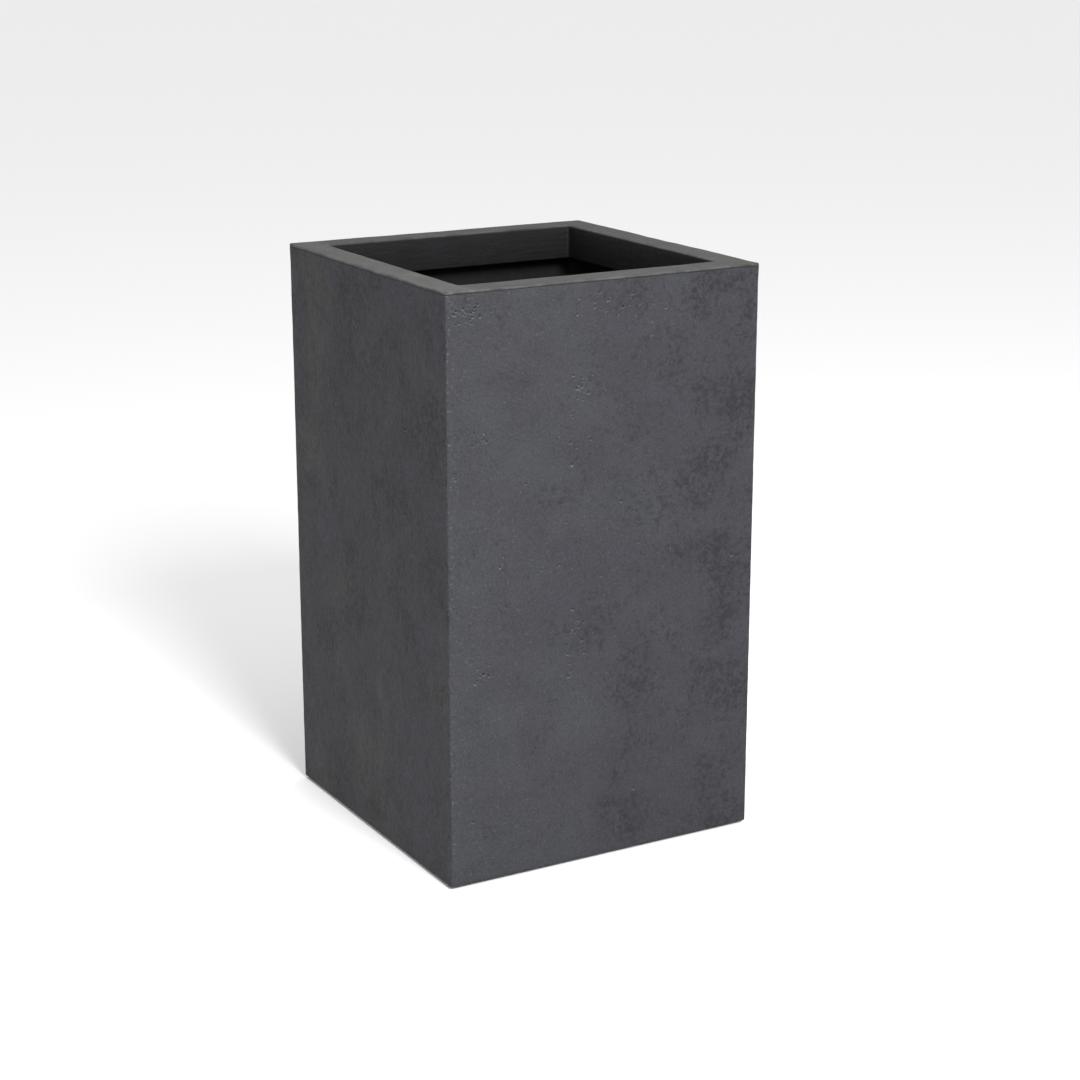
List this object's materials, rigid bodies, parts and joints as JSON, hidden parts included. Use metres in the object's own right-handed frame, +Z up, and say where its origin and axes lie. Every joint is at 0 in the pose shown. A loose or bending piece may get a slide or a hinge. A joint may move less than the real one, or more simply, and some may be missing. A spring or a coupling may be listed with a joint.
{
  "type": "tall square planter",
  "caption": "Tall square floor planter with a concrete-look fiberglass shell, a smooth turned-in rim, a lift-out false floor and a drain plug.",
  "frame": {"origin": "centre of the footprint on the ground", "axes": "+Z up, -Y out of the front face; the planter is the same from all four sides apart from the false floor's hand slots"},
  "size_m": [0.36, 0.36, 0.61],
  "materials": {
    "shell_coat": "sandy concrete-look coat on fiberglass",
    "rim_paint": "smooth satin paint on fiberglass",
    "laminate": "dark gelcoat over chopped glass laminate",
    "foot_block": "sealed birch plywood",
    "pad_rubber": "moulded black rubber",
    "screw_steel": "stainless",
    "drain_plastic": "moulded black polypropylene",
    "seal_rubber": "black sealing rubber",
    "floor_plastic": "moulded dark grey polypropylene"
  },
  "bodies": {
    "planter": {"side_walls": "shell_coat", "rim_frame": "rim_paint", "floor_tray": "laminate", "foot_blocks": "foot_block", "foot_pads": "pad_rubber", "foot_screws": "screw_steel", "drain_socket": "drain_plastic", "drain_gasket": "seal_rubber", "drain_nut": "drain_plastic", "ledge_front": "laminate", "ledge_right": "laminate", "ledge_back": "laminate", "ledge_left": "laminate"},
    "lift_out_floor": {"false_floor": "floor_plastic"},
    "plug": {"drain_plug": "drain_plastic", "plug_ring": "seal_rubber"}
  },
  "joints": [
    {"name": "floor_lift", "type": "slide", "parent": "planter", "child": "lift_out_floor", "axis": [0, 0, 1], "range_m": [0, 0.33]},
    {"name": "plug_pull", "type": "slide", "parent": "planter", "child": "plug", "axis": [0, 0, 1], "range_m": [0, 0.026]}
  ]
}
